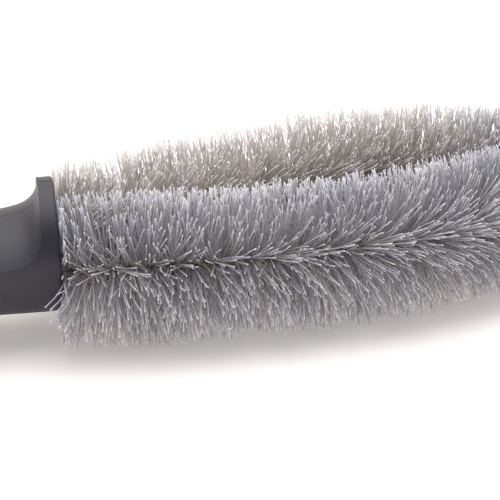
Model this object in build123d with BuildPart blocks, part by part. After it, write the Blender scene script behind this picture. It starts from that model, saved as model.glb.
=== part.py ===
from build123d import *
from math import cos, radians, sin, sqrt
import os

# Looped twisted-wire wheel brush. +X runs from the handle's rear to the loop's tip, +Y across the
# loop and +Z up. The brush lies on z = 0, on its filaments and on the rear of its handle, and the
# origin is the bottom centre of its bounding box. The handle is symmetric about a plane along X.
# The loop is symmetric about its own mid-plane, which leans a few degrees away from the handle's.
# "Near" is the -Y side and "far" the +Y side.

# ---- driving dimensions, in millimetres and degrees ----

# Filaments
bristle_radius = 24.0
bristle_bore = 2.45
root_gap = 0.5
middle_gap = 0.15

# Core of two steel strands
strand_radius = 1.05
strand_offset = 1.12

# Centre line of the core, from the tail in the handle to the tip of the loop
stem_spacing = 18.2
loop_lean = 10.0
splay_angle = 15.4
splay_radius = 60.0
side_radius = 525.0
side_turn = 11.2
shoulder_radius = 141.0
shoulder_turn = 31.4

# Handle
collar_radius = 21.2
collar_thickness = 5.0
collar_centre_above_core = 5.6
rim_round = 0.8
wall = 2.6
parting_gap = 0.1
handle_length = 190.0
cap_depth = 6.0
saddle_crown_radius = 30.0

# Guide plate in the collar's mouth
lip_thickness = 1.2
plate_radius = 17.1
plate_thickness = 2.9
groove_clearance = 0.1
mouth_radius = 14.4
stem_hole_radius = 2.7

# Anchor inside the handle, placed by distance behind the collar's front face
anchor_front = 29.1
anchor_length = 22.0
anchor_half_width = 13.0
anchor_half_height = 6.2
anchor_round = 1.5
anchor_bore_radius = 2.3
backing_thickness = 2.0
backing_half_width = 12.0
backing_half_height = 5.7
anchor_screw_offset = 3.7
anchor_screw_radius = 1.4
anchor_screw_length = 14.0
anchor_screw_head_radius = 2.8
anchor_screw_head_height = 1.8
ferrule_radius = 3.3
ferrule_bore = 2.25
ferrule_length = 9.0
crimp_depth = 0.35
crimp_width = 1.4
tail_beyond_ferrule = 2.0

# Ribs, bosses and screws that join the two half-shells
rib_thickness = 2.4
rib_window_half_width = 12.6
rib_window_half_height = 7.0
stiffener_positions = (92.0, 132.0)
stiffener_hole_radius = 9.0
screw_seat = 8.0
screw_head_radius = 2.9
screw_head_height = 2.0
screw_shank_radius = 1.45
screw_reach = 10.0
pilot_radius = 1.5
clearance_radius = 1.7
counterbore_radius = 3.3
boss_radius = 4.2
pin_radius = 1.4
pin_reach = 2.4
pin_boss_radius = 3.2

# Hang bush and end cap
bush_position = 173.0
bush_radius = 5.0
hang_hole_radius = 3.5
bush_half_length = 15.8
bush_edge = 0.5
spigot_length = 8.0
spigot_wall = 2.0
fit_gap = 0.05
cap_edge_round = 4.5

# ---- sizes worked out from them ----

core_height = bristle_radius
collar_height = core_height + collar_centre_above_core
heading_at_shoulder = side_turn - splay_angle
heading_at_tip = heading_at_shoulder + shoulder_turn


def cosine(angle):
    return cos(radians(angle))


def sine(angle):
    return sin(radians(angle))


# In the loop's own frame, with x along its mid-plane from the collar's face: where each arc of the
# near half ends, and the arcs' centres
shoulder_start = (
    side_radius * (sine(splay_angle) + sine(heading_at_shoulder)),
    -stem_spacing / 2 - side_radius * (cosine(heading_at_shoulder) - cosine(splay_angle)),
)
side_centre = (
    shoulder_start[0] - side_radius * sine(heading_at_shoulder),
    shoulder_start[1] + side_radius * cosine(heading_at_shoulder),
)
shoulder_centre = (
    shoulder_start[0] - shoulder_radius * sine(heading_at_shoulder),
    shoulder_start[1] + shoulder_radius * cosine(heading_at_shoulder),
)
tip_radius = shoulder_radius - shoulder_centre[1] / cosine(heading_at_tip)
tip_centre = (
    shoulder_centre[0] + (shoulder_radius - tip_radius) * sine(heading_at_tip),
    0.0,
)


def leaned(point):
    """A point of the loop's frame, turned by the loop's lean about the middle of the collar's face."""
    x, y = point
    return (
        x * cosine(loop_lean) - y * sine(loop_lean),
        x * sine(loop_lean) + y * cosine(loop_lean),
    )


# The bounding box from the collar's face and the handle's middle plane, which place both in the frame
front_extent = leaned(tip_centre)[0] + tip_radius + bristle_radius
rear_extent = handle_length + cap_depth
near_extent = side_radius + bristle_radius - leaned(side_centre)[1]
far_extent = leaned((shoulder_centre[0], -shoulder_centre[1]))[1] + shoulder_radius + bristle_radius
face_x = (rear_extent - front_extent) / 2
axis_y = (near_extent - far_extent) / 2

# Each side's angle of splay, where its stem leaves the handle and how far across its tail lies
splay = {side: splay_angle + side * loop_lean for side in (-1, 1)}
stem = {side: leaned((0, side * stem_spacing / 2)) for side in (-1, 1)}
tail_y = {side: stem[side][1] - side * splay_radius * (1 - cosine(splay[side])) for side in (-1, 1)}

backing_front = anchor_front + anchor_length + fit_gap
ferrule_front = backing_front + backing_thickness + fit_gap
tail_end = ferrule_front + ferrule_length + tail_beyond_ferrule

# Handle sections: distance behind the collar's face, height of the centre, half width, half height
handle_sections = (
    (0.0, collar_height, collar_radius, collar_radius),
    (14.0, collar_height, collar_radius, collar_radius),
    (28.0, collar_height - 0.1, collar_radius - 0.2, collar_radius - 0.2),
    (50.0, collar_height - 1.2, 19.8, 20.2),
    (80.0, collar_height - 3.7, 17.2, 18.2),
    (115.0, collar_height - 7.2, 15.6, 17.0),
    (150.0, collar_height - 10.2, 15.8, 16.9),
    (175.0, collar_height - 11.8, 17.1, 17.3),
    (handle_length, collar_height - 12.0, 17.4, 17.4),
)

# Thumb saddle: distance behind the collar's face, height of its crown above the collar's centre
saddle_sections = (
    (collar_thickness, 17.6),
    (6.5, 14.6),
    (8.6, 12.75),
    (12.0, 11.4),
    (15.5, 10.7),
    (24.0, 10.6),
    (36.0, 11.0),
    (50.0, 12.0),
    (64.0, 13.2),
    (80.0, 14.2),
    (100.0, 14.8),
)

# Bends of the core's centre line from the near stem to the far one: radius, angle to the left
half_loop = (
    (side_radius, side_turn),
    (shoulder_radius, shoulder_turn),
)
loop_bends = (
    *half_loop,
    (tip_radius, 180 - 2 * heading_at_tip),
    *reversed(half_loop),
)

# Self-tapping screws that close the handle: distance behind the collar's face, height
handle_screws_at = (
    (16.0, collar_height - 13.5),
    (74.0, collar_height - 3.0),
    (112.0, collar_height - 6.9),
    (152.0, collar_height - 10.3),
)

# Locating pins of the half-shells: distance behind the collar's face, height
pins_at = (
    (84.0, collar_height - 15.4),
    (142.0, collar_height - 21.8),
)

os.makedirs("parts", exist_ok=True)


def section_plane(behind):
    """Plane across the handle, with its own axes along Y and Z, behind the collar's face."""
    return Plane(origin=(face_x - behind, axis_y, 0), x_dir=(0, 1, 0), z_dir=(1, 0, 0))


def across(behind, height, y=0.0):
    """Plane facing +Y at a place in the handle, for what goes from side to side."""
    return Plane(origin=(face_x - behind, axis_y + y, height), x_dir=(1, 0, 0), z_dir=(0, 1, 0))


def placed(point, height=core_height):
    """A point of the loop's frame, leaned and set in the part's frame."""
    x, y = leaned(point)
    return (face_x + x, axis_y + y, height)


def write(piece, name):
    """Label one finished piece and write its STEP file."""
    piece.part.label = name
    export_step(piece.part, f"parts/{name}.step")


# ---- core: two steel wires, each in one length round the whole loop ----
# The real pair is twisted together. Here each strand runs straight along the pair's centre line,
# one above the other, inside the space that the twist fills.


def core_strand(height):
    with BuildPart() as strand:
        with BuildLine(Plane.XY.offset(height)) as route:
            tail_start = (face_x - tail_end, axis_y + tail_y[-1])
            straight = tail_end + stem[-1][0] - splay_radius * sine(splay[-1])
            run = Line(tail_start, (tail_start[0] + straight, tail_start[1]))
            bends = ((splay_radius, -splay[-1]), *loop_bends, (splay_radius, -splay[1]))
            for radius, angle in bends:
                run = JernArc(start=run @ 1, tangent=run % 1, radius=radius, arc_size=angle)
            Line(run @ 1, (face_x - tail_end, (run @ 1).Y))
        with BuildSketch(Plane(origin=route.line @ 0, z_dir=route.line % 0)):
            Circle(strand_radius)
        sweep()
    return strand


core_strand_a = core_strand(core_height - strand_offset)
write(core_strand_a, "core_strand_a")

core_strand_b = core_strand(core_height + strand_offset)
write(core_strand_b, "core_strand_b")


# ---- filaments: the space they fill round the core, side by side along the loop ----

root_overlap = 4.0
loop_middle = Plane(origin=placed((0, 0)), x_dir=(cosine(loop_lean), sine(loop_lean), 0),
                    z_dir=(-sine(loop_lean), cosine(loop_lean), 0))
root_plane = Plane.YZ.offset(face_x + root_gap)


def filament_bend(centre, radius, start_heading, turn):
    """Filaments along one arc of the core, from its heading at the start, turning left."""
    spoke = start_heading + loop_lean - 90
    section = Plane(
        origin=placed(centre),
        x_dir=(cosine(spoke), sine(spoke), 0),
        z_dir=(-sine(spoke), cosine(spoke), 0),
    )
    beyond_centre = 2 * bristle_radius
    with BuildPart() as ring:
        with BuildSketch(section):
            with Locations((radius, 0)):
                Circle(bristle_radius)
                Circle(bristle_bore, mode=Mode.SUBTRACT)
            with Locations((-beyond_centre / 2, 0)):
                Rectangle(beyond_centre, 2 * beyond_centre, mode=Mode.SUBTRACT)
        revolve(axis=Axis(placed(centre), (0, 0, 1)), revolution_arc=turn)
    return ring.part


side_bend = filament_bend(side_centre, side_radius, -splay_angle - root_overlap, side_turn + root_overlap)
shoulder_bend = filament_bend(shoulder_centre, shoulder_radius, heading_at_shoulder, shoulder_turn)
tip_bend = filament_bend(tip_centre, tip_radius, heading_at_tip, 180 - 2 * heading_at_tip)

with BuildPart() as near_run:
    add(side_bend)
    split(bisect_by=loop_middle.offset(-middle_gap), keep=Keep.BOTTOM)
    split(bisect_by=root_plane, keep=Keep.TOP)
write(near_run, "bristles_near_run")

with BuildPart() as near_bend:
    add(shoulder_bend)
    split(bisect_by=loop_middle.offset(-middle_gap), keep=Keep.BOTTOM)
write(near_bend, "bristles_near_bend")

with BuildPart() as loop_end:
    add(tip_bend)
write(loop_end, "bristles_loop_end")

with BuildPart() as far_bend:
    mirror(near_bend.part, about=loop_middle)
write(far_bend, "bristles_far_bend")

with BuildPart() as far_run:
    mirror(side_bend, about=loop_middle)
    split(bisect_by=loop_middle.offset(middle_gap), keep=Keep.TOP)
    split(bisect_by=root_plane, keep=Keep.TOP)
write(far_run, "bristles_far_run")


# ---- handle half-shells, split on the plane of symmetry ----


def handle_form(inset):
    """The handle's solid form with its thumb saddle, drawn in by an inset."""
    with BuildPart() as form:
        for behind, height, half_width, half_height in handle_sections:
            with BuildSketch(section_plane(behind)):
                with Locations((0, height)):
                    Ellipse(half_width - inset, half_height - inset)
        loft()
        half_chord = collar_radius + 2
        fall = saddle_crown_radius - sqrt(saddle_crown_radius**2 - half_chord**2)
        clear = collar_height + 2 * collar_radius
        for behind, crown in saddle_sections:
            top = collar_height + crown - inset
            with BuildSketch(section_plane(behind)):
                with BuildLine():
                    saddle = ThreePointArc((-half_chord, top - fall), (0, top), (half_chord, top - fall))
                    Polyline(saddle @ 1, (half_chord, clear), (-half_chord, clear), saddle @ 0)
                make_face()
        loft(mode=Mode.SUBTRACT)
    return form.part


bush_height = collar_height - 11.8
handle_outside = handle_form(0.0)
handle_inside = handle_form(wall)
fitting_limit = handle_form(wall / 2)

cavity_front = lip_thickness + plate_thickness + 2 * groove_clearance + 1.0

with BuildPart() as cavity:
    add(handle_inside)
    split(bisect_by=section_plane(cavity_front), keep=Keep.BOTTOM)

with BuildPart() as fittings:
    for behind in (anchor_front - rib_thickness - fit_gap, ferrule_front):
        with BuildSketch(section_plane(behind)):
            with Locations((0, collar_height)):
                Circle(collar_radius)
            with Locations((0, core_height)):
                Rectangle(2 * rib_window_half_width, 2 * rib_window_half_height, mode=Mode.SUBTRACT)
        extrude(amount=-rib_thickness)
    for behind in stiffener_positions:
        with BuildSketch(section_plane(behind)):
            with Locations((0, collar_height - behind / 18)):
                Circle(2 * collar_radius)
                Circle(stiffener_hole_radius, mode=Mode.SUBTRACT)
        extrude(amount=-rib_thickness)
    for behind, height in handle_screws_at:
        with BuildSketch(across(behind, height)):
            Circle(boss_radius)
        extrude(amount=2 * collar_radius, both=True)
    for behind, height in pins_at:
        with BuildSketch(across(behind, height)):
            Circle(pin_boss_radius)
        extrude(amount=2 * collar_radius, both=True)
    with BuildSketch(across(bush_position, bush_height)):
        Circle(bush_radius + wall)
    extrude(amount=2 * collar_radius, both=True)
    add(fitting_limit, mode=Mode.INTERSECT)

with BuildPart() as handle:
    add(handle_outside)
    front_rim = handle.edges().sort_by(Axis.X)[-1]
    fillet(front_rim, rim_round)
    add(cavity.part, mode=Mode.SUBTRACT)
    with BuildSketch(section_plane(lip_thickness)):
        with Locations((0, collar_height)):
            Circle(plate_radius + groove_clearance)
    extrude(amount=-(plate_thickness + 2 * groove_clearance), mode=Mode.SUBTRACT)
    with BuildSketch(section_plane(0)):
        with Locations((0, collar_height)):
            Circle(mouth_radius)
    extrude(amount=-(cavity_front + 0.3), mode=Mode.SUBTRACT)
    add(fittings.part)
    for behind, height in handle_screws_at:
        with BuildSketch(across(behind, height, screw_seat)):
            Circle(counterbore_radius)
        extrude(amount=2 * collar_radius, mode=Mode.SUBTRACT)
        with BuildSketch(across(behind, height)):
            Circle(clearance_radius)
        extrude(amount=2 * screw_seat, mode=Mode.SUBTRACT)
        with BuildSketch(across(behind, height)):
            Circle(pilot_radius)
        extrude(amount=-(screw_reach + 1), mode=Mode.SUBTRACT)
    for behind, height in pins_at:
        with BuildSketch(across(behind, height)):
            Circle(pin_radius + groove_clearance)
        extrude(amount=pin_reach + 0.5, mode=Mode.SUBTRACT)
    with BuildSketch(across(bush_position, bush_height)):
        Circle(bush_radius + fit_gap)
    extrude(amount=2 * collar_radius, both=True, mode=Mode.SUBTRACT)
    for side in (-1, 1):
        mouth = Plane(
            origin=(face_x - bush_position, axis_y + side * bush_half_length, bush_height),
            x_dir=(1, 0, 0),
            z_dir=(0, side, 0),
        )
        with BuildSketch(mouth):
            Circle(bush_radius + fit_gap)
        extrude(amount=wall, taper=-45, mode=Mode.SUBTRACT)

handle_middle = Plane(origin=(0, axis_y, 0), x_dir=(1, 0, 0), z_dir=(0, 1, 0))

with BuildPart() as shell_far:
    add(handle.part)
    split(bisect_by=handle_middle.offset(parting_gap), keep=Keep.TOP)
write(shell_far, "handle_shell_far")

with BuildPart() as shell_near:
    add(handle.part)
    split(bisect_by=handle_middle.offset(-parting_gap), keep=Keep.BOTTOM)
    for behind, height in pins_at:
        with BuildSketch(across(behind, height, -1.0)):
            Circle(pin_radius)
        extrude(amount=pin_reach + 1.0)
write(shell_near, "handle_shell_near")


# ---- end cap that closes the rear of the two shells ----

rear_height = handle_sections[-1][1]
rear_radius = handle_sections[-1][2]
spigot_radius = rear_radius - wall - 4 * fit_gap

with BuildPart() as end_cap:
    with BuildSketch(section_plane(handle_length + fit_gap)):
        with Locations((0, rear_height)):
            Circle(rear_radius)
    extrude(amount=-cap_depth + fit_gap)
    fillet(end_cap.edges().sort_by(Axis.X)[0], cap_edge_round)
    with BuildSketch(section_plane(handle_length + fit_gap)):
        with Locations((0, rear_height)):
            Circle(spigot_radius)
            Circle(spigot_radius - spigot_wall, mode=Mode.SUBTRACT)
    extrude(amount=spigot_length)
write(end_cap, "end_cap")


# ---- hang bush through the rear of the handle ----

with BuildPart() as hang_bush:
    with BuildSketch(across(bush_position, bush_height)):
        Circle(bush_radius)
    extrude(amount=bush_half_length, both=True)
    chamfer(hang_bush.edges().filter_by(GeomType.CIRCLE), bush_edge)
    with BuildSketch(across(bush_position, bush_height)):
        Circle(hang_hole_radius)
    extrude(amount=bush_half_length, both=True, mode=Mode.SUBTRACT)
write(hang_bush, "hang_bush")


# ---- guide plate that spaces the two stems in the collar's mouth ----

with BuildPart() as guide_plate:
    with BuildSketch(section_plane(lip_thickness + groove_clearance)):
        with Locations((0, collar_height)):
            Circle(plate_radius)
    extrude(amount=-plate_thickness)
    for side in (-1, 1):
        hole_plane = Plane(
            origin=placed((0, side * stem_spacing / 2)),
            z_dir=(cosine(splay[side]), side * sine(splay[side]), 0),
        )
        with BuildSketch(hole_plane):
            Circle(stem_hole_radius)
        extrude(amount=4 * plate_thickness, both=True, mode=Mode.SUBTRACT)
write(guide_plate, "guide_plate")


# ---- anchor that holds the two tails ----

tail_places = ((tail_y[-1], core_height), (tail_y[1], core_height))
between_tails = (tail_y[-1] + tail_y[1]) / 2
anchor_screw_places = (
    (between_tails, core_height - anchor_screw_offset),
    (between_tails, core_height + anchor_screw_offset),
)

with BuildPart() as anchor_block:
    with BuildSketch(section_plane(anchor_front)):
        with Locations((0, core_height)):
            RectangleRounded(2 * anchor_half_width, 2 * anchor_half_height, anchor_round)
        with Locations(*tail_places):
            Circle(anchor_bore_radius, mode=Mode.SUBTRACT)
    extrude(amount=-anchor_length)
    with BuildSketch(section_plane(anchor_front + anchor_length)):
        with Locations(*anchor_screw_places):
            Circle(anchor_screw_radius + fit_gap)
    extrude(amount=anchor_screw_length, mode=Mode.SUBTRACT)
write(anchor_block, "anchor_block")

with BuildPart() as backing_plate:
    with BuildSketch(section_plane(backing_front)):
        with Locations((0, core_height)):
            RectangleRounded(2 * backing_half_width, 2 * backing_half_height, anchor_round)
        with Locations(*tail_places):
            Circle(anchor_bore_radius, mode=Mode.SUBTRACT)
        with Locations(*anchor_screw_places):
            Circle(anchor_screw_radius + 4 * fit_gap, mode=Mode.SUBTRACT)
    extrude(amount=-backing_thickness)
write(backing_plate, "anchor_backing_plate")


def ferrule(side):
    """Crimped tube on one tail, with two crimp grooves round it."""
    with BuildPart() as tube:
        with BuildSketch(section_plane(ferrule_front)):
            with Locations((tail_y[side], core_height)):
                Circle(ferrule_radius)
                Circle(ferrule_bore, mode=Mode.SUBTRACT)
        extrude(amount=-ferrule_length)
        chamfer(tube.edges().filter_by(GeomType.CIRCLE).sort_by(SortBy.RADIUS)[-2:], crimp_depth)
        for share in (0.35, 0.65):
            with BuildSketch(section_plane(ferrule_front + share * ferrule_length)):
                with Locations((tail_y[side], core_height)):
                    Circle(ferrule_radius + 1)
                    Circle(ferrule_radius - crimp_depth, mode=Mode.SUBTRACT)
            extrude(amount=crimp_width / 2, both=True, mode=Mode.SUBTRACT)
    return tube


write(ferrule(-1), "tail_ferrule_near")
write(ferrule(1), "tail_ferrule_far")


# ---- screws: pan heads with a cross recess, and plain shanks in place of threads ----


def screw(head_plane, head_radius, head_height, shank_radius, shank_length):
    """One screw whose head sits on a plane, with its shank going the other way."""
    with BuildPart() as body:
        with BuildSketch(head_plane):
            Circle(head_radius)
        extrude(amount=head_height)
        fillet(body.edges().filter_by(GeomType.CIRCLE).sort_by(Axis(head_plane.origin, head_plane.z_dir))[-1],
               head_height / 2)
        with BuildSketch(head_plane.offset(head_height)):
            Rectangle(1.3 * head_radius, 0.3 * head_radius)
            Rectangle(0.3 * head_radius, 1.3 * head_radius)
        extrude(amount=-head_height / 2, mode=Mode.SUBTRACT)
        with BuildSketch(head_plane):
            Circle(shank_radius)
        extrude(amount=-shank_length)
        chamfer(body.edges().filter_by(GeomType.CIRCLE).sort_by(Axis(head_plane.origin, head_plane.z_dir))[0],
                shank_radius / 2)
    return body.part


with BuildPart() as handle_screws:
    for behind, height in handle_screws_at:
        seat = across(behind, height, screw_seat)
        add(screw(seat, screw_head_radius, screw_head_height, screw_shank_radius, screw_seat + screw_reach))
write(handle_screws, "handle_screws")

with BuildPart() as anchor_screws:
    for y, height in anchor_screw_places:
        seat = Plane(
            origin=(face_x - ferrule_front + fit_gap, axis_y + y, height),
            x_dir=(0, 1, 0),
            z_dir=(-1, 0, 0),
        )
        add(screw(seat, anchor_screw_head_radius, anchor_screw_head_height, anchor_screw_radius,
                  anchor_screw_length))
write(anchor_screws, "anchor_screws")
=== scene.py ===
"""Looks of the looped wheel brush: twisted wire core, combed filaments, split plastic handle."""

import math
from types import SimpleNamespace

import bpy
import numpy as np
from mathutils import Matrix, Vector


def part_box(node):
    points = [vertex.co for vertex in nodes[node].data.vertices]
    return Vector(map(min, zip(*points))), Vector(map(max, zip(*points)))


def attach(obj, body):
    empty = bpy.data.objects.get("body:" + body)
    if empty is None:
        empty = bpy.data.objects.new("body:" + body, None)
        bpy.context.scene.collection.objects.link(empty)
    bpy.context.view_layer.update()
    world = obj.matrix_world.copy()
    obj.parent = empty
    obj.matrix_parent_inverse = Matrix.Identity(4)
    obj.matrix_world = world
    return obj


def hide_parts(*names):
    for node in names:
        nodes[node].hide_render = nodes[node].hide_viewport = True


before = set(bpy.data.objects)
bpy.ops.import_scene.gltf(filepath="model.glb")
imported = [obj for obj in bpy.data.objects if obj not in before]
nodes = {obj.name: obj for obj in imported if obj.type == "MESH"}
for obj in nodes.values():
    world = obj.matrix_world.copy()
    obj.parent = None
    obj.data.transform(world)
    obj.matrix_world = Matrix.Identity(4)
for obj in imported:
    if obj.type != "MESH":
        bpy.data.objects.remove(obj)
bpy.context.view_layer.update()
dice = np.random.default_rng(27)

# ---- driving dimensions: metres, and degrees where a name says so ----

# Centre line of the core, as the CAD has it
STEM_SPACING = 0.0182
LOOP_LEAN_DEGREES = 10.0
SPLAY_DEGREES = 15.4
SPLAY_RADIUS = 0.060
SIDE_RADIUS = 0.525
SIDE_TURN_DEGREES = 11.2
SHOULDER_RADIUS = 0.141
SHOULDER_TURN_DEGREES = 31.4
WALK_STEP = 0.00025

# Collar at the front of the handle
COLLAR_RADIUS = 0.0212
COLLAR_RISE = 0.0056

# Twisted pair of wires
STRAND_RADIUS = 0.00105
STRAND_OFFSET = 0.00108
TWIST_PITCH = 0.0125
STRAND_STEP = 0.0006
STRAND_SIDES = 10

# Filaments: number and section
FILAMENT_RADIUS = 0.00019
FILAMENTS_PER_METRE = 29000
FAR_FILAMENTS_PER_METRE = 34000
FILAMENT_RINGS = 6
FILAMENT_SIDES = 4

# Filaments: where they are rooted
ROOT_RADIUS = 0.0006
ROOT_GAP = 0.0003
RAMP_SPREAD = 0.5
LOOSE_SHARE = 0.25
LOOSE_END_LENGTH = 0.0035
SQUEEZED_LENGTH = 0.008
SQUEEZE_POWER = 1.4

# Filaments: length
BRISTLE_RADIUS = 0.024
PROUD_LENGTH = 0.0007
TRIM_SPREAD = 0.0010
LONGEST_FILAMENT = 0.0275
BEND_START = 0.070
BEND_BLEND = 0.050
BEND_SPLAY = 0.0012
FAR_BLEND = 0.15
FAR_RUN_EXTRA = 0.0029

# Filaments: lean of each one
TILT_SPREAD_DEGREES = 8.0
SWAY_SPREAD = 0.0030
BOW_SPREAD = 0.0009

# Tufts. The strides are primes that scatter the cells over the table of tufts
TUFT_LENGTH = 0.0042
TUFT_ANGLE_DEGREES = 20.0
TUFT_COUNT = 4093
ROW_STRIDE = 7919
COLUMN_STRIDE = 104729
LEAST_HOLD = 0.1
MOST_HOLD = 0.85
HOLD_ROUND_CORE = 0.6
TUFT_LEAN_SPREAD = 0.0018
TUFT_SWAY_SPREAD = 0.0016
TUFT_POINT = 0.25
TUFT_LENGTH_SPREAD = 0.0007
FAR_TUFT_LENGTH_SPREAD = 0.0016

# Filaments beside the collar
FAN_LENGTH = 0.022
FAN_SHIFT = 0.0030
FAR_FAN_SHIFT = 0.0065
LOW_OVERHANG = 0.0020
LOW_SIDE_LIMIT = 0.3
FACE_CLEARANCE = 0.0004
FACE_CROWDING = 0.0014
FAR_SETBACK = 0.0060
STRAY_ANGLE_DEGREES = 185.0
STRAY_HALF_ANGLE_DEGREES = 14.0
STRAY_DISTANCE = 0.0026
STRAY_HALF_DISTANCE = 0.0022
STRAY_SHIFT = 0.0050
LEAST_STRAY = 0.75
MOST_STRAY = 1.2
STRAY_DROP = 0.0015

# Tones of the filaments, from 0 to 1, in strips of the UV map. Their light warm end also serves as
# painted backlight and painted floor bounce
TONES = 64
TONE_SHAPE = 2.2
TUFT_TONE_SPREAD = 0.08
# Painted backlight: filaments beyond the loop's tip are pushed to lighter, warmer tones
FAR_RUN_PAINTED_BACKLIGHT = 0.62
# Painted floor bounce: filaments on the low side are pushed to lighter, warmer tones
LOW_SIDE_PAINTED_BOUNCE = 0.44
HIGHEST_TONE = 0.999
STRIP_MARGIN = 0.1
# The tip caps sit in the painted highlight at the top of the length ramp
TIP_V = 0.99

# Floor and light
FLOOR_SIZE = 12.0
FLOOR_DROP = 0.0002
LIGHT_PLACE = (0.02, 0.18, 1.08)
LIGHT_TARGET = (0.03, 0.0, 0.0)
LIGHT_SIZE = 1.5
LIGHT_POWER = 13.2

# Camera
VIEW_AZIMUTH_DEGREES = 11.8
VIEW_ELEVATION_DEGREES = 25.1
VIEW_ROLL_DEGREES = 1.14
VIEW_DISTANCE = 0.4015
FOCAL_LENGTH_MM = 86.4
SENSOR_WIDTH_MM = 36.0
SEEN_ALONG_LOOP = 0.060
AIM_RIGHT = 0.00552
AIM_DOWN = 0.00614

# Places taken from the frame
bush_low, bush_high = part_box("hang_bush")
wire_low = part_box("core_strand_a")[0]
wire_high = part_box("core_strand_b")[1]
FACE_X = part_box("handle_shell_near")[1].x
AXIS_Y = (bush_low.y + bush_high.y) / 2
CORE_Z = (wire_low.z + wire_high.z) / 2
TAIL_X = wire_low.x
COLLAR_Z = CORE_Z + COLLAR_RISE

UP = np.array([0.0, 0.0, 1.0])
ROOT_TO_TIP = np.linspace(0.0, 1.0, FILAMENT_RINGS)


# ---- centre line of the core, walked from the near tail round to the far one ----

lean = math.radians(LOOP_LEAN_DEGREES)
splay = math.radians(SPLAY_DEGREES)
side_turn = math.radians(SIDE_TURN_DEGREES)
shoulder_turn = math.radians(SHOULDER_TURN_DEGREES)
heading_at_shoulder = side_turn - splay
heading_at_tip = heading_at_shoulder + shoulder_turn


def centre_line():
    """Arrays of distance from the near stem, x, y and heading, and where each stretch starts."""
    half_width = (
        STEM_SPACING / 2
        + SIDE_RADIUS * (math.cos(heading_at_shoulder) - math.cos(splay))
        - SHOULDER_RADIUS * (math.cos(heading_at_shoulder) - math.cos(heading_at_tip))
    )
    tip_radius = half_width / math.cos(heading_at_tip)
    tip_turn = math.pi - 2 * heading_at_tip
    side = (SIDE_RADIUS * side_turn, side_turn)
    shoulder = (SHOULDER_RADIUS * shoulder_turn, shoulder_turn)
    tip = (tip_radius * tip_turn, tip_turn)
    near_splay = splay - lean
    far_splay = splay + lean
    stem_x = STEM_SPACING / 2 * math.sin(lean)
    near_tail = FACE_X - TAIL_X + stem_x - SPLAY_RADIUS * math.sin(near_splay)
    far_tail = FACE_X - TAIL_X - stem_x - SPLAY_RADIUS * math.sin(far_splay)
    legs = [
        (near_tail, 0.0),
        (SPLAY_RADIUS * near_splay, -near_splay),
        side,
        shoulder,
        tip,
        shoulder,
        side,
        (SPLAY_RADIUS * far_splay, -far_splay),
        (far_tail, 0.0),
    ]
    ends = np.cumsum([0.0] + [length for length, turn in legs])
    headings = np.cumsum([0.0] + [turn for length, turn in legs])
    stem_at = ends[2]
    walk = np.arange(0.0, ends[-1], WALK_STEP)
    heading = np.interp(walk, ends, headings)
    middle = (heading[1:] + heading[:-1]) / 2
    steps = np.diff(walk)
    x = np.concatenate(([0.0], np.cumsum(steps * np.cos(middle))))
    y = np.concatenate(([0.0], np.cumsum(steps * np.sin(middle))))
    x += FACE_X + stem_x - np.interp(stem_at, walk, x)
    y += AXIS_Y - STEM_SPACING / 2 * math.cos(lean) - np.interp(stem_at, walk, y)
    leg_starts = {
        "near_bend": ends[3] - stem_at,
        "loop_end": ends[4] - stem_at,
        "far_bend": ends[5] - stem_at,
        "far_run": ends[6] - stem_at,
        "end": ends[7] - stem_at,
    }
    return walk - stem_at, x, y, heading, leg_starts


walk, line_x, line_y, line_heading, leg_at = centre_line()
loop_length = leg_at["end"]


def along_core(distance):
    """Places, forward and sideways unit vectors of the core's centre line at distances along it."""
    heading = np.interp(distance, walk, line_heading)
    zero = np.zeros_like(heading)
    place = np.stack(
        [
            np.interp(distance, walk, line_x),
            np.interp(distance, walk, line_y),
            zero + CORE_Z,
        ],
        axis=-1,
    )
    forward = np.stack([np.cos(heading), np.sin(heading), zero], axis=-1)
    sideways = np.stack([-np.sin(heading), np.cos(heading), zero], axis=-1)
    return place, forward, sideways


def square_to_core(angle, sideways):
    """Unit vectors square to the core, at angles from sideways towards up."""
    return np.cos(angle)[:, None] * sideways + np.sin(angle)[:, None] * UP


# ---- materials ----


def new_material(name):
    material = bpy.data.materials.new(name)
    material.use_nodes = True
    tree = material.node_tree
    return material, tree, tree.nodes["Principled BSDF"]


def colour_ramp(tree, stops):
    ramp = tree.nodes.new("ShaderNodeValToRGB")
    elements = ramp.color_ramp.elements
    while len(elements) < len(stops):
        elements.new(0.5)
    for element, (position, colour) in zip(elements, stops):
        element.position = position
        element.color = (*colour, 1.0)
    return ramp


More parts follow.
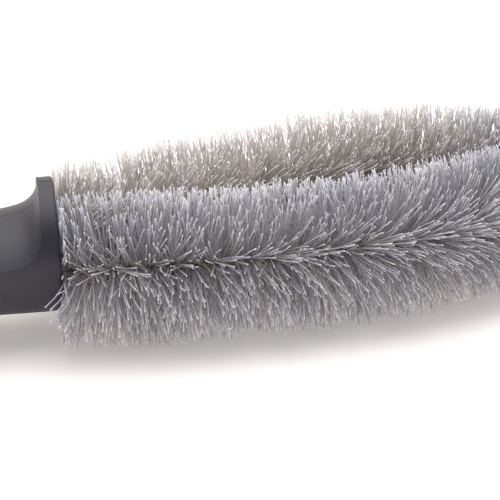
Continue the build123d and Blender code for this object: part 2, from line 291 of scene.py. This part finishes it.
def filament_material():
    """Pale grey nylon. Its UV map is tone across and root to tip upwards. The light warm end of the
    tones carries painted backlight and painted floor bounce, and along the length there is a painted
    warm reflection at the roots and a painted highlight at the tips.
    """
    material, tree, shader = new_material("filament_nylon")
    uv = tree.nodes.new("ShaderNodeUVMap")
    uv.uv_map = "OFBake"
    split = tree.nodes.new("ShaderNodeSeparateXYZ")
    tree.links.new(uv.outputs["UV"], split.inputs[0])
    # Tones: random grey-blue, with a lighter warm end used as painted backlight and painted floor
    # bounce
    tone_and_painted_light = colour_ramp(
        tree,
        [
            (0.0, (0.340, 0.350, 0.400)),
            (0.5, (0.385, 0.396, 0.452)),
            (0.7, (0.470, 0.472, 0.505)),
            (1.0, (0.620, 0.590, 0.570)),
        ],
    )
    tree.links.new(split.outputs["X"], tone_and_painted_light.inputs[0])
    # Along the length: a painted warm reflection at the roots and a painted highlight at the tips
    length = colour_ramp(
        tree,
        [
            # Painted reflection: the amber of the wires laid on the roots, fading towards the tips
            (0.0, (1.03, 0.95, 0.86)),
            (0.5, (1.01, 0.985, 0.96)),
            (0.955, (1.0, 1.0, 1.0)),
            # Painted highlight on the tips
            (0.975, (1.30, 1.30, 1.33)),
        ],
    )
    tree.links.new(split.outputs["Y"], length.inputs[0])
    mix = tree.nodes.new("ShaderNodeMix")
    mix.data_type = "RGBA"
    mix.blend_type = "MULTIPLY"
    mix.inputs["Factor"].default_value = 1.0
    tree.links.new(tone_and_painted_light.outputs["Color"], mix.inputs["A"])
    tree.links.new(length.outputs["Color"], mix.inputs["B"])
    tree.links.new(mix.outputs["Result"], shader.inputs["Base Color"])
    shader.inputs["Roughness"].default_value = 0.6
    shader.inputs["Specular IOR Level"].default_value = 0.12
    shader.inputs["Subsurface Weight"].default_value = 0.6
    shader.inputs["Subsurface Radius"].default_value = (1.0, 0.9, 0.8)
    shader.inputs["Subsurface Scale"].default_value = 0.001
    shader.inputs["IOR"].default_value = 1.5
    return material


def wire_material():
    """Galvanised wire with a warm, drawn look."""
    material, tree, shader = new_material("core_wire")
    place = tree.nodes.new("ShaderNodeTexCoord")
    noise = tree.nodes.new("ShaderNodeTexNoise")
    noise.inputs["Scale"].default_value = 900.0
    noise.inputs["Detail"].default_value = 3.0
    tree.links.new(place.outputs["Object"], noise.inputs["Vector"])
    colour = colour_ramp(
        tree,
        [(0.35, (0.22, 0.20, 0.165)), (0.65, (0.46, 0.42, 0.345))],
    )
    tree.links.new(noise.outputs["Fac"], colour.inputs[0])
    tree.links.new(colour.outputs["Color"], shader.inputs["Base Color"])
    shader.inputs["Metallic"].default_value = 0.5
    shader.inputs["Roughness"].default_value = 0.36
    return material


def grained_plastic(name, dark, light, grain, depth, roughness):
    """Moulded plastic with a fine spark-eroded grain."""
    material, tree, shader = new_material(name)
    place = tree.nodes.new("ShaderNodeTexCoord")
    noise = tree.nodes.new("ShaderNodeTexNoise")
    noise.inputs["Scale"].default_value = grain
    noise.inputs["Detail"].default_value = 2.5
    noise.inputs["Roughness"].default_value = 0.6
    tree.links.new(place.outputs["Object"], noise.inputs["Vector"])
    colour = colour_ramp(tree, [(0.35, dark), (0.65, light)])
    tree.links.new(noise.outputs["Fac"], colour.inputs[0])
    tree.links.new(colour.outputs["Color"], shader.inputs["Base Color"])
    bump = tree.nodes.new("ShaderNodeBump")
    bump.inputs["Strength"].default_value = 0.55
    bump.inputs["Distance"].default_value = depth
    tree.links.new(noise.outputs["Fac"], bump.inputs["Height"])
    tree.links.new(bump.outputs["Normal"], shader.inputs["Normal"])
    shader.inputs["Roughness"].default_value = roughness
    return material


def plated_steel_material():
    material, tree, shader = new_material("plated_steel")
    place = tree.nodes.new("ShaderNodeTexCoord")
    noise = tree.nodes.new("ShaderNodeTexNoise")
    noise.inputs["Scale"].default_value = 700.0
    tree.links.new(place.outputs["Object"], noise.inputs["Vector"])
    colour = colour_ramp(
        tree,
        [(0.3, (0.52, 0.52, 0.54)), (0.7, (0.68, 0.68, 0.70))],
    )
    tree.links.new(noise.outputs["Fac"], colour.inputs[0])
    tree.links.new(colour.outputs["Color"], shader.inputs["Base Color"])
    shader.inputs["Metallic"].default_value = 0.95
    shader.inputs["Roughness"].default_value = 0.28
    return material


FILAMENT = filament_material()
CORE_WIRE = wire_material()
GRIP_PLASTIC = grained_plastic(
    "grip_plastic", (0.007, 0.007, 0.015), (0.016, 0.015, 0.027), 2600.0, 0.00012, 0.46
)
MOULDED_INSERT = grained_plastic(
    "moulded_insert", (0.026, 0.026, 0.029), (0.040, 0.040, 0.044), 1800.0, 0.00006, 0.45
)
PLATED_STEEL = plated_steel_material()


def finish_node(name, material):
    node = nodes[name]
    node.data.materials.clear()
    node.data.materials.append(material)


for name in ("handle_shell_near", "handle_shell_far", "end_cap"):
    finish_node(name, GRIP_PLASTIC)
for name in ("guide_plate", "hang_bush", "anchor_block"):
    finish_node(name, MOULDED_INSERT)
for name in (
    "anchor_backing_plate",
    "anchor_screws",
    "handle_screws",
    "tail_ferrule_near",
    "tail_ferrule_far",
):
    finish_node(name, PLATED_STEEL)


# ---- meshes from arrays ----


def mesh_object(name, points, faces, material, uv=None):
    """A smooth mesh of quads and triangles, riding on the one body."""
    mesh = bpy.data.meshes.new(name)
    sizes = np.array([len(face) for group in faces for face in group], dtype=np.int32)
    corners = np.concatenate([np.asarray(group, dtype=np.int32).ravel() for group in faces])
    starts = np.concatenate(([0], np.cumsum(sizes)[:-1])).astype(np.int32)
    mesh.vertices.add(len(points))
    mesh.vertices.foreach_set("co", np.asarray(points, dtype=np.float32).ravel())
    mesh.loops.add(len(corners))
    mesh.loops.foreach_set("vertex_index", corners)
    mesh.polygons.add(len(sizes))
    mesh.polygons.foreach_set("loop_start", starts)
    mesh.polygons.foreach_set("loop_total", sizes)
    mesh.polygons.foreach_set("use_smooth", np.ones(len(sizes), dtype=bool))
    if uv is not None:
        layer = mesh.uv_layers.new(name="OFBake")
        layer.data.foreach_set("uv", np.asarray(uv, dtype=np.float32).ravel())
    mesh.update(calc_edges=True)
    mesh.validate()
    mesh.materials.append(material)
    shown = bpy.data.objects.new(name, mesh)
    bpy.context.scene.collection.objects.link(shown)
    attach(shown, "root")
    return shown


# ---- core: two wires twisted together round the whole loop ----


def strand(name, phase, node):
    """One wire of the twisted pair, from tail to tail."""
    distance = np.arange(walk[0], walk[-1], STRAND_STEP)
    place, _, sideways = along_core(distance)
    outward = square_to_core(2 * math.pi * distance / TWIST_PITCH + phase, sideways)
    centre = place + STRAND_OFFSET * outward
    tangent = np.gradient(centre, axis=0)
    tangent /= np.linalg.norm(tangent, axis=1, keepdims=True)
    outward -= np.sum(outward * tangent, axis=1, keepdims=True) * tangent
    outward /= np.linalg.norm(outward, axis=1, keepdims=True)
    across = np.cross(tangent, outward)
    turn = 2 * math.pi * np.arange(STRAND_SIDES) / STRAND_SIDES
    ring = np.cos(turn)[:, None] * outward[:, None] + np.sin(turn)[:, None] * across[:, None]
    points = (centre[:, None] + STRAND_RADIUS * ring).reshape(-1, 3)
    count = len(distance)
    base = (np.arange(count - 1) * STRAND_SIDES)[:, None]
    here = np.arange(STRAND_SIDES)
    after = (here + 1) % STRAND_SIDES
    walls = np.stack(
        [base + here, base + after, base + after + STRAND_SIDES, base + here + STRAND_SIDES],
        axis=-1,
    ).reshape(-1, 4)
    first_cap = here[::-1].reshape(1, -1)
    last_cap = ((count - 1) * STRAND_SIDES + here).reshape(1, -1)
    wire = mesh_object(name, points, [walls, first_cap, last_cap], CORE_WIRE)
    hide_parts(node)


strand("twisted_wire_a", 0.0, "core_strand_a")
strand("twisted_wire_b", math.pi, "core_strand_b")


# ---- filaments ----


def root_filaments(start, end, per_metre):
    """Where the filaments stand, along the core and round it on the helical ramp of the twist."""
    count = int((end - start) * per_metre)
    distance = start + (end - start) * (np.arange(count) + dice.random(count)) / count

    # Those at the ends are squeezed towards the collar
    from_collar = np.minimum(distance, loop_length - distance)
    near_end = np.minimum(from_collar / SQUEEZED_LENGTH, 1.0)
    squeeze = SQUEEZED_LENGTH * (near_end - near_end**SQUEEZE_POWER)
    distance += np.where(distance < loop_length / 2, -squeeze, squeeze)
    from_collar -= squeeze

    ramp = 2 * math.pi * distance / TWIST_PITCH + math.pi / 2 + math.pi * dice.integers(0, 2, count)
    angle = ramp + dice.normal(0.0, RAMP_SPREAD, count)
    loose = (dice.random(count) < LOOSE_SHARE) | (from_collar < LOOSE_END_LENGTH)
    angle = np.where(loose, dice.uniform(0.0, 2 * math.pi, count), angle) % (2 * math.pi)
    beyond_tip = np.clip((distance / loop_length - 0.5) / FAR_BLEND, 0.0, 1.0)
    return SimpleNamespace(
        count=count,
        distance=distance,
        from_collar=from_collar,
        angle=angle,
        beyond_tip=beyond_tip,
    )


def gather_tufts(hair):
    """Neighbours lean together towards the middle of their cell. Cells wind round the core."""
    cell_angle = math.radians(TUFT_ANGLE_DEGREES)
    along = hair.distance / TUFT_LENGTH - hair.angle / (2 * math.pi)
    column = np.floor(along).astype(int)
    shift = dice.random(TUFT_COUNT)[column % TUFT_COUNT]
    row = np.floor(hair.angle / cell_angle + shift).astype(int)
    cell = (row * ROW_STRIDE + column * COLUMN_STRIDE) % TUFT_COUNT
    hair.column = column
    hair.hold = dice.uniform(LEAST_HOLD, MOST_HOLD, TUFT_COUNT)[cell]
    hair.wander = dice.normal(0.0, 1.0, (TUFT_COUNT, 3))[cell]
    hair.to_middle = (column + 0.5 - along) * TUFT_LENGTH
    hair.to_angle = HOLD_ROUND_CORE * ((row + 0.5 - shift) * cell_angle - hair.angle)


def cut_to_length(hair):
    """Tufts end in points, and the bend and the top of the far run are longer."""
    length = BRISTLE_RADIUS + PROUD_LENGTH - np.abs(dice.normal(0.0, TRIM_SPREAD, hair.count))
    length += TUFT_POINT * (TUFT_LENGTH / 4 - np.abs(hair.to_middle))
    length += TUFT_LENGTH_SPREAD * hair.wander[:, 2]
    uneven = dice.random(TUFT_COUNT)[hair.column % TUFT_COUNT]
    length -= FAR_TUFT_LENGTH_SPREAD * uneven * (hair.distance > leg_at["far_bend"])
    bent = np.clip((hair.from_collar - BEND_START) / BEND_BLEND, 0.0, 1.0)
    upward = np.clip(np.sin(hair.angle), 0.0, 1.0)
    length += (BEND_SPLAY * bent + FAR_RUN_EXTRA * hair.beyond_tip) * upward
    hair.length = np.minimum(length, LONGEST_FILAMENT)


def lean_tips(hair):
    """How far each tip moves along the core and round it, and how much the filament bows."""
    tilt = dice.normal(0.0, math.radians(TILT_SPREAD_DEGREES), hair.count)
    gathered = hair.hold * hair.to_middle + TUFT_LEAN_SPREAD * hair.wander[:, 0]
    hair.tip_shift = np.tan(tilt) * hair.length + gathered
    hair.sway = dice.normal(0.0, SWAY_SPREAD, hair.count) + TUFT_SWAY_SPREAD * hair.wander[:, 1]
    hair.bow = dice.normal(0.0, BOW_SPREAD, (hair.count, 2))


def fan_at_collar(hair):
    """Next to the collar they fan a little, and one stray bunch lies over its near side."""
    fanned = np.clip(1.0 - hair.from_collar / FAN_LENGTH, 0.0, 1.0)
    hair.tip_shift -= fanned * (FAN_SHIFT + (FAR_FAN_SHIFT - FAN_SHIFT) * hair.beyond_tip)
    turned = np.abs(hair.angle - math.radians(STRAY_ANGLE_DEGREES))
    stray = turned < math.radians(STRAY_HALF_ANGLE_DEGREES)
    stray &= np.abs(hair.distance - STRAY_DISTANCE) < STRAY_HALF_DISTANCE
    stray_shift = -STRAY_SHIFT * dice.uniform(LEAST_STRAY, MOST_STRAY, hair.count)
    hair.tip_shift = np.where(stray, stray_shift, hair.tip_shift)
    low = (np.sin(hair.angle) < 0.0) & (np.cos(hair.angle) < LOW_SIDE_LIMIT)
    overhang = LOW_OVERHANG * dice.random(hair.count) * low
    hair.overhang = np.where(stray, 2 * STRAY_SHIFT, overhang)
    hair.stray = stray


def filament_lines(hair):
    """Points along the middle of every filament from root to tip, and the core's forward vectors."""
    place, forward, sideways = along_core(hair.distance)
    radial = square_to_core(hair.angle, sideways)
    tip_radial = square_to_core(hair.angle + hair.hold * hair.to_angle, sideways)
    root = place + ROOT_RADIUS * radial
    across = np.cross(forward, radial)
    reach = hair.length**2 / np.sqrt(hair.length**2 + hair.tip_shift**2 + hair.sway**2)
    points = np.empty((hair.count, FILAMENT_RINGS, 3))
    for ring, t in enumerate(ROOT_TO_TIP):
        straight = (1 - t) * radial + t * tip_radial
        straight /= np.linalg.norm(straight, axis=1, keepdims=True)
        bulge = t * (1 - t)
        shifted = np.where(hair.stray, t**3, t) * hair.tip_shift + bulge * hair.bow[:, 0]
        swayed = t * hair.sway + bulge * hair.bow[:, 1]
        points[:, ring] = (
            root
            + straight * (t * (reach - ROOT_RADIUS))[:, None]
            + forward * shifted[:, None]
            + across * swayed[:, None]
        )
    return points, forward


def keep_clear(hair, points):
    """Nothing goes into the collar's face or the floor."""
    points[hair.stray, :, 2] -= STRAY_DROP * ROOT_TO_TIP**2
    from_middle = np.hypot(points[:, :, 1] - AXIS_Y, points[:, :, 2] - COLLAR_Z)
    beside = from_middle > COLLAR_RADIUS + FACE_CLEARANCE
    overhang = hair.overhang[:, None]
    setback = dice.random(hair.count) * (FACE_CROWDING + FAR_SETBACK * hair.beyond_tip)
    setback = np.where(beside & (overhang > 0), -overhang, setback[:, None] * ROOT_TO_TIP)
    points[:, :, 0] = np.maximum(points[:, :, 0], FACE_X + FACE_CLEARANCE + setback)
    points[:, :, 2] = np.maximum(points[:, :, 2], FILAMENT_RADIUS)


def filament_skin(points, forward):
    """A ring of points at each point of a line, quads between the rings and one over each tip."""
    tangent = np.gradient(points, axis=1)
    tangent /= np.linalg.norm(tangent, axis=2, keepdims=True)
    first = np.cross(tangent, forward[:, None])
    first /= np.linalg.norm(first, axis=2, keepdims=True)
    second = np.cross(tangent, first)
    turn = 2 * math.pi * np.arange(FILAMENT_SIDES) / FILAMENT_SIDES
    circle = np.cos(turn)[:, None] * first[:, :, None] + np.sin(turn)[:, None] * second[:, :, None]
    rings = points[:, :, None] + FILAMENT_RADIUS * circle

    per_filament = FILAMENT_RINGS * FILAMENT_SIDES
    base = (np.arange(len(points)) * per_filament)[:, None, None]
    level = (np.arange(FILAMENT_RINGS - 1) * FILAMENT_SIDES)[:, None]
    here = np.arange(FILAMENT_SIDES)
    after = (here + 1) % FILAMENT_SIDES
    walls = np.stack(
        [
            base + level + after,
            base + level + here,
            base + level + here + FILAMENT_SIDES,
            base + level + after + FILAMENT_SIDES,
        ],
        axis=-1,
    ).reshape(-1, 4)
    tips = base[:, 0] + per_filament - 1 - here
    return rings.reshape(-1, 3), [walls, tips]


def filament_uv(hair):
    """The UV map of the skin: a narrow strip for each tone, with root to tip upwards. The tone is
    random, raised as painted backlight on the far run and painted floor bounce on the low side.
    """
    tone_and_painted_light = dice.beta(TONE_SHAPE, TONE_SHAPE, hair.count) + TUFT_TONE_SPREAD * hair.wander[:, 0]
    # Painted light: lighter, warmer tones for the far run as painted backlight and for the low side
    # as painted floor bounce
    tone_and_painted_light += FAR_RUN_PAINTED_BACKLIGHT * hair.beyond_tip + LOW_SIDE_PAINTED_BOUNCE * np.clip(-np.sin(hair.angle), 0.0, 1.0)
    strip = np.floor(np.clip(tone_and_painted_light, 0.0, HIGHEST_TONE) * TONES) / TONES
    side_edges = np.linspace(STRIP_MARGIN, 1.0 - STRIP_MARGIN, FILAMENT_SIDES + 1) / TONES
    shape = (hair.count, FILAMENT_RINGS - 1, FILAMENT_SIDES)
    u_here = np.broadcast_to(strip[:, None, None] + side_edges[:-1], shape)
    u_after = np.broadcast_to(strip[:, None, None] + side_edges[1:], shape)
    v_low = np.broadcast_to(ROOT_TO_TIP[:-1, None], shape)
    v_high = np.broadcast_to(ROOT_TO_TIP[1:, None], shape)
    corners = [(u_after, v_low), (u_here, v_low), (u_here, v_high), (u_after, v_high)]
    wall_uv = np.stack([np.stack(corner, axis=-1) for corner in corners], axis=-2)
    tip_u = strip[:, None] + side_edges[[0, -1, -1, 0]]
    tip_v = np.broadcast_to([TIP_V, TIP_V, 1.0, 1.0], tip_u.shape)
    tip_uv = np.stack([tip_u, tip_v], axis=-1)
    return np.concatenate([wall_uv.reshape(-1, 2), tip_uv.reshape(-1, 2)])


def filaments(name, start, end, node, per_metre=FILAMENTS_PER_METRE):
    """The filaments rooted in the core from one distance along it to another."""
    hair = root_filaments(start, end, per_metre)
    gather_tufts(hair)
    cut_to_length(hair)
    lean_tips(hair)
    fan_at_collar(hair)
    points, forward = filament_lines(hair)
    keep_clear(hair, points)
    skin, faces = filament_skin(points, forward)
    brush = mesh_object(name, skin, faces, FILAMENT, filament_uv(hair))
    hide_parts(node)


filaments("filaments_near_run", ROOT_GAP, leg_at["near_bend"], "bristles_near_run")
filaments("filaments_near_bend", leg_at["near_bend"], leg_at["loop_end"], "bristles_near_bend")
filaments("filaments_loop_end", leg_at["loop_end"], leg_at["far_bend"], "bristles_loop_end")
filaments(
    "filaments_far_bend",
    leg_at["far_bend"],
    leg_at["far_run"],
    "bristles_far_bend",
    FAR_FILAMENTS_PER_METRE,
)
filaments(
    "filaments_far_run",
    leg_at["far_run"],
    loop_length - ROOT_GAP,
    "bristles_far_run",
    FAR_FILAMENTS_PER_METRE,
)


# ---- floor, light and camera ----


def white_floor():
    """A warm white sheet that glows a little, so that shadows on it stay pale."""
    material, _, shader = new_material("floor_white")
    shader.inputs["Base Color"].default_value = (0.94, 0.90, 0.87, 1.0)
    shader.inputs["Roughness"].default_value = 0.9
    shader.inputs["Emission Color"].default_value = (1.0, 0.96, 0.93, 1.0)
    shader.inputs["Emission Strength"].default_value = 0.23
    shader.inputs["Specular IOR Level"].default_value = 0.1
    bpy.ops.mesh.primitive_plane_add(size=FLOOR_SIZE, location=(0.0, 0.0, -FLOOR_DROP))
    floor = bpy.context.object
    floor.name = "floor"
    floor.data.materials.append(material)


def studio_world():
    """Light from all round: dim and bluish from the front, bright and warm from behind."""
    world = bpy.data.worlds.new("studio")
    world.use_nodes = True
    tree = world.node_tree
    place = tree.nodes.new("ShaderNodeTexCoord")
    split = tree.nodes.new("ShaderNodeSeparateXYZ")
    front_to_back = tree.nodes.new("ShaderNodeMapRange")
    front_to_back.inputs["From Min"].default_value = -1.0
    tint = colour_ramp(tree, [(0.0, (0.33, 0.35, 0.44)), (1.0, (1.3, 1.22, 1.12))])
    tree.links.new(place.outputs["Generated"], split.inputs[0])
    tree.links.new(split.outputs["Y"], front_to_back.inputs["Value"])
    tree.links.new(front_to_back.outputs["Result"], tint.inputs[0])
    tree.links.new(tint.outputs["Color"], tree.nodes["Background"].inputs["Color"])
    bpy.context.scene.world = world


def overhead_light():
    """One broad disk of light above and a little behind the brush."""
    data = bpy.data.lights.new("overhead", "AREA")
    data.shape = "DISK"
    data.size = LIGHT_SIZE
    data.energy = LIGHT_POWER
    light = bpy.data.objects.new("overhead", data)
    light.location = LIGHT_PLACE
    shining = Vector(LIGHT_TARGET) - Vector(LIGHT_PLACE)
    light.rotation_euler = shining.to_track_quat("-Z", "Y").to_euler()
    bpy.context.scene.collection.objects.link(light)


def view_camera():
    """Looks at a place on the loop's middle line, from the near side and a little above."""
    azimuth = math.radians(VIEW_AZIMUTH_DEGREES)
    elevation = math.radians(VIEW_ELEVATION_DEGREES)
    level = Vector((math.sin(azimuth), math.cos(azimuth), 0.0))
    right = Vector((math.cos(azimuth), -math.sin(azimuth), 0.0))
    ahead = math.cos(elevation) * level - math.sin(elevation) * Vector(UP)
    screen_up = right.cross(ahead)
    watched_x = FACE_X + SEEN_ALONG_LOOP * math.cos(lean)
    watched_y = AXIS_Y + SEEN_ALONG_LOOP * math.sin(lean)
    watched = Vector((watched_x, watched_y, CORE_Z))
    place = watched - VIEW_DISTANCE * ahead
    aim = watched + AIM_RIGHT * right - AIM_DOWN * screen_up
    data = bpy.data.cameras.new("camera")
    data.lens = FOCAL_LENGTH_MM
    data.sensor_width = SENSOR_WIDTH_MM
    data.clip_start = 0.01
    camera = bpy.data.objects.new("camera", data)
    looking = (aim - place).to_track_quat("-Z", "Y").to_matrix()
    rolled = looking @ Matrix.Rotation(math.radians(VIEW_ROLL_DEGREES), 3, "Z")
    camera.matrix_world = Matrix.Translation(place) @ rolled.to_4x4()
    bpy.context.scene.collection.objects.link(camera)
    bpy.context.scene.camera = camera


white_floor()
studio_world()
overhead_light()
view_camera()
bpy.context.scene.view_settings.view_transform = "Standard"
